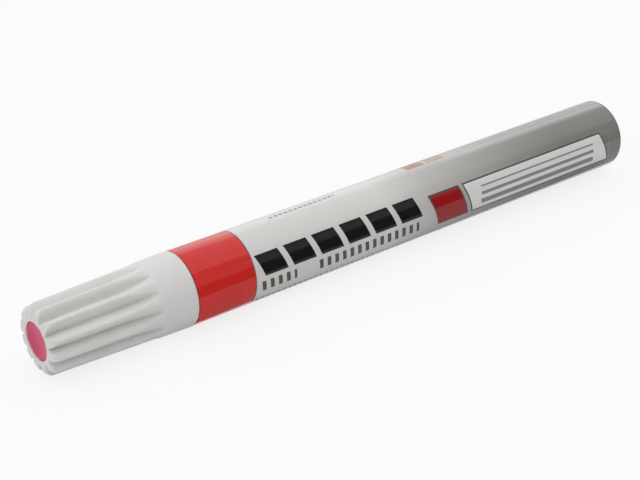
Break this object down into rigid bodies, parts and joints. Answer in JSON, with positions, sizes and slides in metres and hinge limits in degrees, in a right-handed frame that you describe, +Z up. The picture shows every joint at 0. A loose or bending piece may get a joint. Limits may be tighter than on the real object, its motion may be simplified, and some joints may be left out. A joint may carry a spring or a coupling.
{
  "type": "valve-action paint marker",
  "caption": "Aluminium paint marker lying on its side, with a fluted push-on cap, bullet nib, spring valve and mixing ball.",
  "frame": {"origin": "on the surface that the pen lies on, under the middle of its length", "axes": "+X along the pen from the cap to the closed rear end, +Z up"},
  "size_m": [0.1424, 0.0152, 0.0151],
  "materials": {
    "cap_plastic": "fine satin texture",
    "disc_plastic": "satin",
    "liner_plastic": "translucent satin",
    "nib_fibre": "paint-soaked fibre",
    "front_plastic": "satin",
    "seal_rubber": "matte",
    "valve_plastic": "satin",
    "spring_steel": "drawn wire",
    "ball_steel": "polished",
    "tube_aluminium": "drawn, satin",
    "band_film": "glossy film",
    "label_film": "glossy printed film"
  },
  "bodies": {
    "barrel": {"barrel_tube": "tube_aluminium", "colour_band": "band_film", "printed_label": "label_film", "front_section": "front_plastic", "sealing_ring": "seal_rubber", "valve_seat": "valve_plastic", "valve_cage": "valve_plastic", "valve_spring": "spring_steel"},
    "cap": {"cap_shell": "cap_plastic", "cap_disc": "disc_plastic", "cap_liner": "liner_plastic"},
    "nib": {"nib": "nib_fibre", "valve_stem": "valve_plastic", "valve_gasket": "seal_rubber"},
    "mixing_ball": {"mixing_ball": "ball_steel"}
  },
  "joints": [
    {"name": "cap_pull", "type": "slide", "parent": "barrel", "child": "cap", "axis": [-1, 0, 0], "range_m": [0, 0.05]},
    {"name": "nib_press", "type": "slide", "parent": "barrel", "child": "nib", "axis": [1, 0, 0], "range_m": [0, 0.0025], "stiffness_N_per_m": 1500, "deforming": ["valve_spring"]},
    {"name": "ball_travel", "type": "slide", "parent": "barrel", "child": "mixing_ball", "axis": [1, 0, 0], "range_m": [-0.037, 0.045]}
  ]
}
